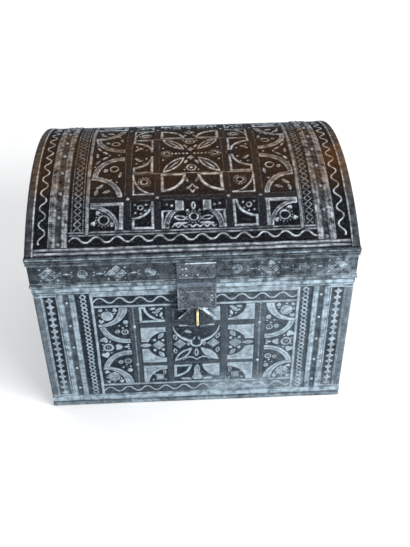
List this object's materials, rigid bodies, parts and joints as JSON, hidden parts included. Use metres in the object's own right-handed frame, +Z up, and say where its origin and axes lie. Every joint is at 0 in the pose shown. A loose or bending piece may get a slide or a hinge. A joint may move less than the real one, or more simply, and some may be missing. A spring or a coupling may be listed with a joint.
{
  "type": "domed chest",
  "caption": "Domed wooden chest covered with embossed sheet metal, with nailed mouldings, a hinged lid and a hasp over a staple.",
  "frame": {"origin": "middle of the base, on the ground", "axes": "+Z up, +X to the right seen from the front, front towards -Y"},
  "size_m": [0.5, 0.407, 0.3836],
  "materials": {
    "board_wood": "planed softwood, oiled dark",
    "front_sheet_metal": "embossed white metal, dark patina rubbed back on the raised parts",
    "lid_sheet_metal": "embossed white metal, dark brown patina with worn edges",
    "moulding_metal": "pressed moulding, streaky patina, worn bright along the crests",
    "rim_metal": "engraved band and beads, dark patina",
    "nail_metal": "domed heads, worn bright",
    "hasp_metal": "engraved plate, dark patina, worn edges",
    "staple_brass": "rubbed bright",
    "hinge_iron": "wrought iron, dull"
  },
  "bodies": {
    "chest": {"back_base_moulding": "moulding_metal", "back_board": "board_wood", "back_left_corner_sheet": "front_sheet_metal", "back_right_corner_sheet": "front_sheet_metal", "back_seam_mouldings": "moulding_metal", "back_sheet": "front_sheet_metal", "back_top_moulding": "moulding_metal", "box_nails": "nail_metal", "floor_board": "board_wood", "front_base_moulding": "moulding_metal", "front_board": "board_wood", "front_left_corner_sheet": "front_sheet_metal", "front_right_corner_sheet": "front_sheet_metal", "front_seam_mouldings": "moulding_metal", "front_sheet": "front_sheet_metal", "front_top_moulding": "moulding_metal", "left_base_moulding": "moulding_metal", "left_board": "board_wood", "left_hinge_box_leaf": "hinge_iron", "left_hinge_pin": "hinge_iron", "left_seam_mouldings": "moulding_metal", "left_sheet": "front_sheet_metal", "left_top_moulding": "moulding_metal", "right_base_moulding": "moulding_metal", "right_board": "board_wood", "right_hinge_box_leaf": "hinge_iron", "right_hinge_pin": "hinge_iron", "right_seam_mouldings": "moulding_metal", "right_sheet": "front_sheet_metal", "right_top_moulding": "moulding_metal", "staple": "staple_brass", "staple_plate": "hasp_metal"},
    "lid": {"lid_back_band": "rim_metal", "lid_back_rail": "board_wood", "lid_crown_sheet": "lid_sheet_metal", "lid_front_band": "rim_metal", "lid_front_rail": "board_wood", "lid_left_band": "rim_metal", "lid_left_edge_sheet": "lid_sheet_metal", "lid_left_end": "board_wood", "lid_left_lunette_sheet": "lid_sheet_metal", "lid_left_seam_moulding": "moulding_metal", "lid_nails": "nail_metal", "lid_right_band": "rim_metal", "lid_right_edge_sheet": "lid_sheet_metal", "lid_right_end": "board_wood", "lid_right_lunette_sheet": "lid_sheet_metal", "lid_right_seam_moulding": "moulding_metal", "lid_stave_1": "board_wood", "lid_stave_2": "board_wood", "lid_stave_3": "board_wood", "lid_stave_4": "board_wood", "lid_stave_5": "board_wood", "lid_stave_6": "board_wood", "lid_stave_7": "board_wood", "hasp_plate": "hasp_metal", "hasp_pin": "hasp_metal", "left_hinge_lid_leaf": "hinge_iron", "right_hinge_lid_leaf": "hinge_iron"},
    "hasp": {"hasp_leaf": "hasp_metal"}
  },
  "joints": [
    {"name": "lid_hinge", "type": "hinge", "parent": "chest", "child": "lid", "pos_m": [0, 0.1962, 0.267], "axis": [-1, 0, 0], "range_deg": [0, 100]},
    {"name": "hasp_hinge", "type": "hinge", "parent": "lid", "child": "hasp", "pos_m": [0.004, -0.1993, 0.2715], "axis": [-1, 0, 0], "range_deg": [0, 170]}
  ]
}
